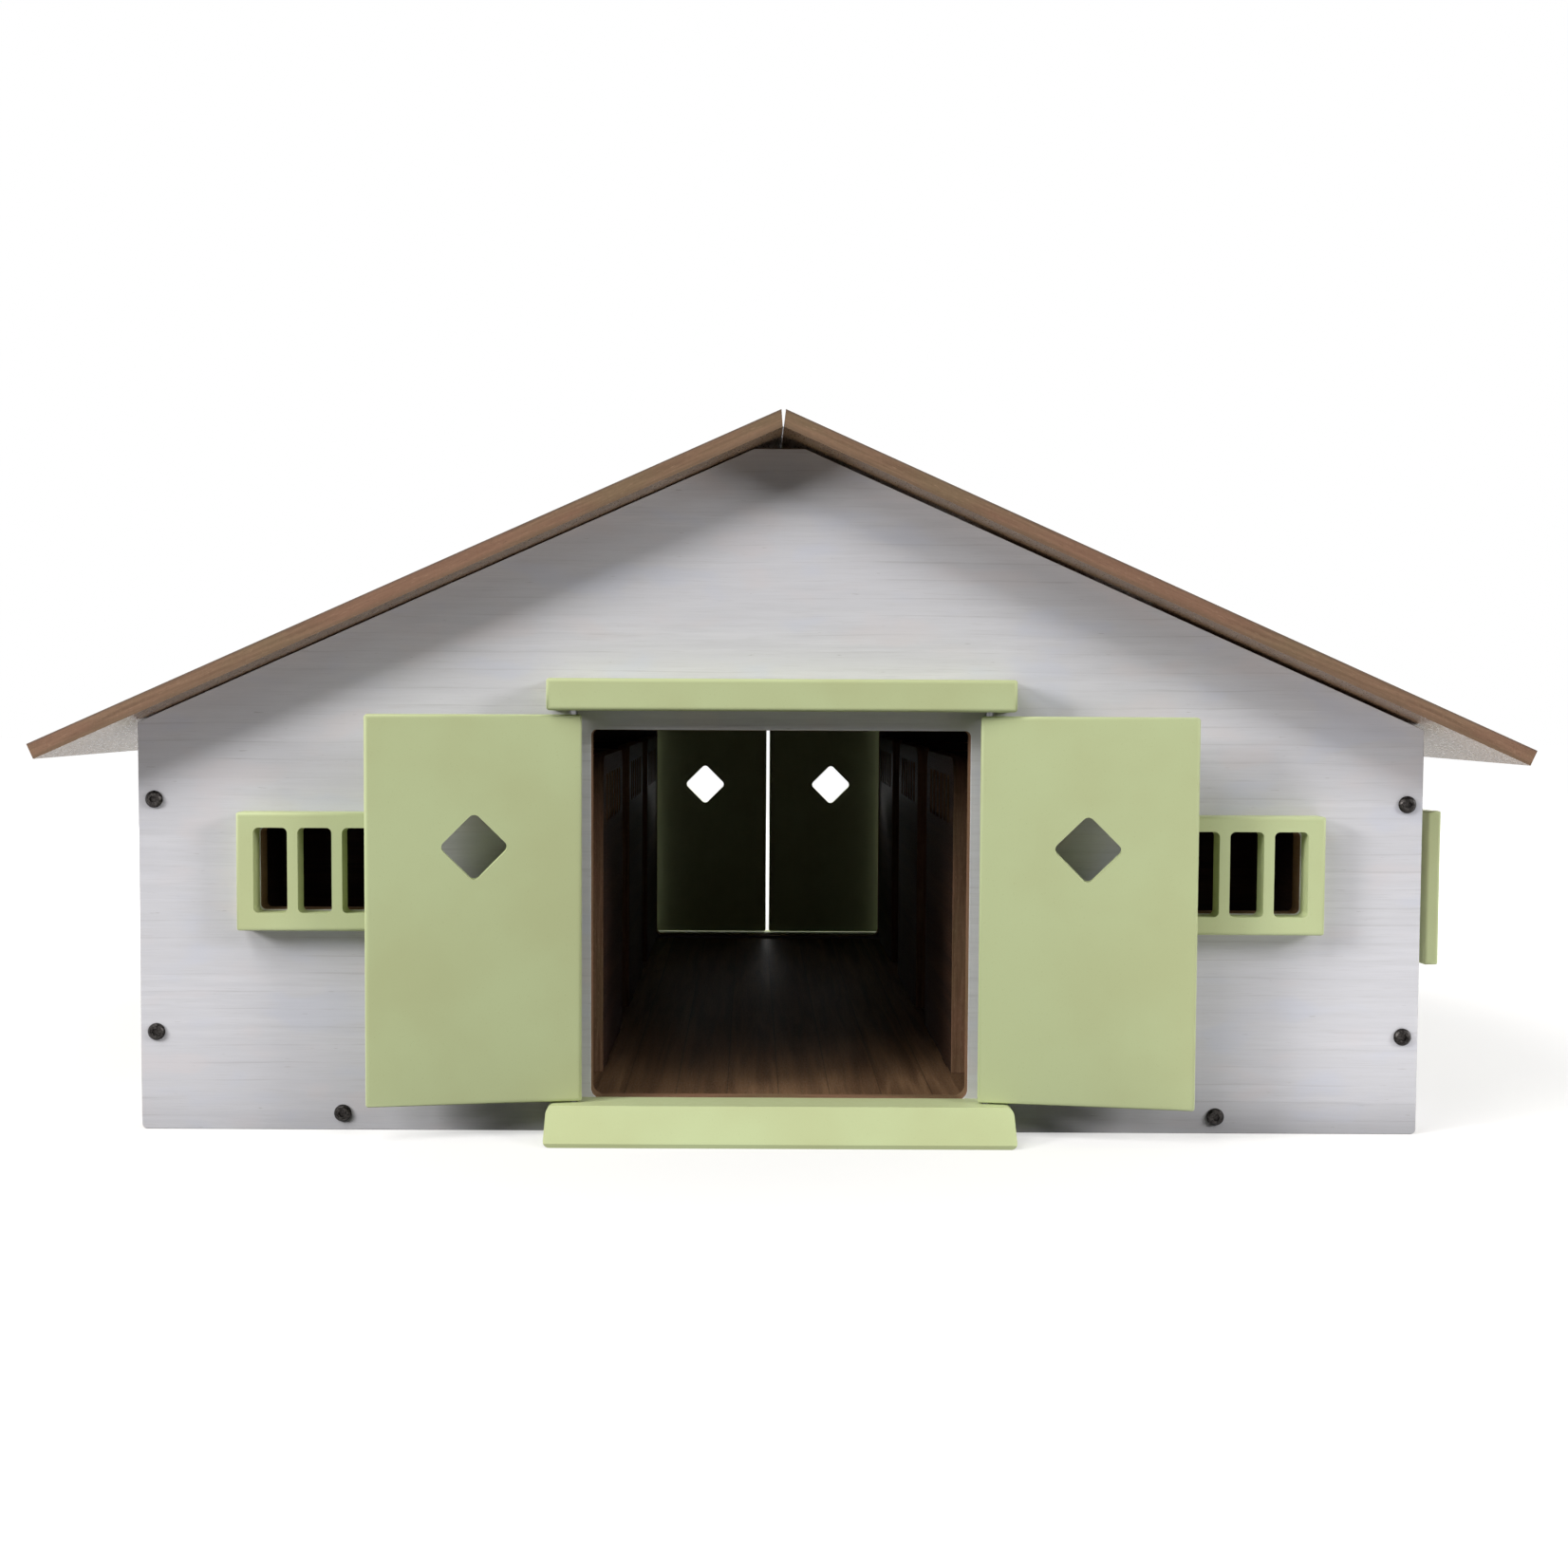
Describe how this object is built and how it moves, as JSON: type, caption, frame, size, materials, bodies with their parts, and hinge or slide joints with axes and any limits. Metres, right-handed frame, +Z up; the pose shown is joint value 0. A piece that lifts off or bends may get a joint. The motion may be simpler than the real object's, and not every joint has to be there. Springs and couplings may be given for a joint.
{
  "type": "toy horse barn",
  "caption": "Wooden toy horse barn with a lifting roof half, green double doors at both ends, barred windows, inner stalls and side hatches.",
  "frame": {"origin": "middle of the footprint, on the surface that the barn stands on", "axes": "X to the right along the eave-to-eave width, -Y out of the front doorway, Z up"},
  "size_m": [0.553, 0.533, 0.2751],
  "materials": {
    "green_paint": "satin paint",
    "white_board": "matt printed wood grain",
    "roof_board": "raw fibreboard edge, dark printed top, white underside",
    "floor_board": "matt printed planks",
    "stall_board": "matt printed wood grain",
    "hinge_steel": "zinc plated",
    "pin_steel": "plain",
    "screw_steel": "black oxide"
  },
  "bodies": {
    "house": {"floor_panel": "floor_board", "front_wall": "white_board", "back_wall": "white_board", "left_wall": "white_board", "right_wall": "white_board", "roof_left": "roof_board", "front_hinge_fixed_leaf": "hinge_steel", "back_hinge_fixed_leaf": "hinge_steel", "hinge_pins": "hinge_steel", "fixed_leaf_screws": "hinge_steel", "roof_screws": "screw_steel", "front_wall_screws": "screw_steel", "back_wall_screws": "screw_steel", "front_lintel": "green_paint", "back_lintel": "green_paint", "front_ramp": "green_paint", "back_ramp": "green_paint", "front_left_window": "green_paint", "front_right_window": "green_paint", "back_left_window": "green_paint", "back_right_window": "green_paint", "left_stall_front_1": "stall_board", "left_stall_front_2": "stall_board", "left_stall_front_3": "stall_board", "right_stall_front_1": "stall_board", "right_stall_front_2": "stall_board", "right_stall_front_3": "stall_board", "left_partition_1": "stall_board", "left_partition_2": "stall_board", "right_partition_1": "stall_board", "right_partition_2": "stall_board", "left_upper_rail": "green_paint", "left_lower_rail": "green_paint", "right_upper_rail": "green_paint", "right_lower_rail": "green_paint"},
    "lifting_roof": {"roof_right": "roof_board", "front_hinge_moving_leaf": "hinge_steel", "back_hinge_moving_leaf": "hinge_steel", "moving_leaf_screws": "hinge_steel"},
    "front_left_door": {"front_left_door": "green_paint", "front_left_door_pins": "pin_steel"},
    "front_right_door": {"front_right_door": "green_paint", "front_right_door_pins": "pin_steel"},
    "back_left_door": {"back_left_door": "green_paint", "back_left_door_pins": "pin_steel"},
    "back_right_door": {"back_right_door": "green_paint", "back_right_door_pins": "pin_steel"},
    "left_hatch_1": {"left_hatch_1": "green_paint", "left_hatch_1_pins": "pin_steel"},
    "left_hatch_2": {"left_hatch_2": "green_paint", "left_hatch_2_pins": "pin_steel"},
    "left_hatch_3": {"left_hatch_3": "green_paint", "left_hatch_3_pins": "pin_steel"},
    "right_hatch_1": {"right_hatch_1": "green_paint", "right_hatch_1_pins": "pin_steel"},
    "right_hatch_2": {"right_hatch_2": "green_paint", "right_hatch_2_pins": "pin_steel"},
    "right_hatch_3": {"right_hatch_3": "green_paint", "right_hatch_3_pins": "pin_steel"}
  },
  "joints": [
    {"name": "front_left_door_hinge", "type": "hinge", "parent": "house", "child": "front_left_door", "pos_m": [-0.0775, -0.2475, 0.0135], "axis": [0, 0, 1], "range_deg": [-5, 170.5]},
    {"name": "front_right_door_hinge", "type": "hinge", "parent": "house", "child": "front_right_door", "pos_m": [0.0775, -0.2475, 0.0135], "axis": [0, 0, -1], "range_deg": [-5, 170.5]},
    {"name": "back_left_door_hinge", "type": "hinge", "parent": "house", "child": "back_left_door", "pos_m": [-0.0775, 0.2475, 0.0135], "axis": [0, 0, 1], "range_deg": [0, 175.5]},
    {"name": "back_right_door_hinge", "type": "hinge", "parent": "house", "child": "back_right_door", "pos_m": [0.0775, 0.2475, 0.0135], "axis": [0, 0, -1], "range_deg": [0, 175.5]},
    {"name": "left_hatch_1_hinge", "type": "hinge", "parent": "house", "child": "left_hatch_1", "pos_m": [-0.25, -0.18, 0.0625], "axis": [0, 0, 1], "range_deg": [0, 178]},
    {"name": "left_hatch_2_hinge", "type": "hinge", "parent": "house", "child": "left_hatch_2", "pos_m": [-0.25, -0.024, 0.0625], "axis": [0, 0, 1], "range_deg": [0, 178]},
    {"name": "left_hatch_3_hinge", "type": "hinge", "parent": "house", "child": "left_hatch_3", "pos_m": [-0.25, 0.132, 0.0625], "axis": [0, 0, 1], "range_deg": [0, 178]},
    {"name": "right_hatch_1_hinge", "type": "hinge", "parent": "house", "child": "right_hatch_1", "pos_m": [0.25, -0.18, 0.0625], "axis": [0, 0, -1], "range_deg": [-175.8, 2.2]},
    {"name": "right_hatch_2_hinge", "type": "hinge", "parent": "house", "child": "right_hatch_2", "pos_m": [0.25, -0.024, 0.0625], "axis": [0, 0, -1], "range_deg": [0, 178]},
    {"name": "right_hatch_3_hinge", "type": "hinge", "parent": "house", "child": "right_hatch_3", "pos_m": [0.25, 0.132, 0.0625], "axis": [0, 0, -1], "range_deg": [0, 178]},
    {"name": "roof_hinge", "type": "hinge", "parent": "house", "child": "lifting_roof", "pos_m": [0, 0, 0.27285], "axis": [0, -1, 0], "range_deg": [0, 225]}
  ]
}
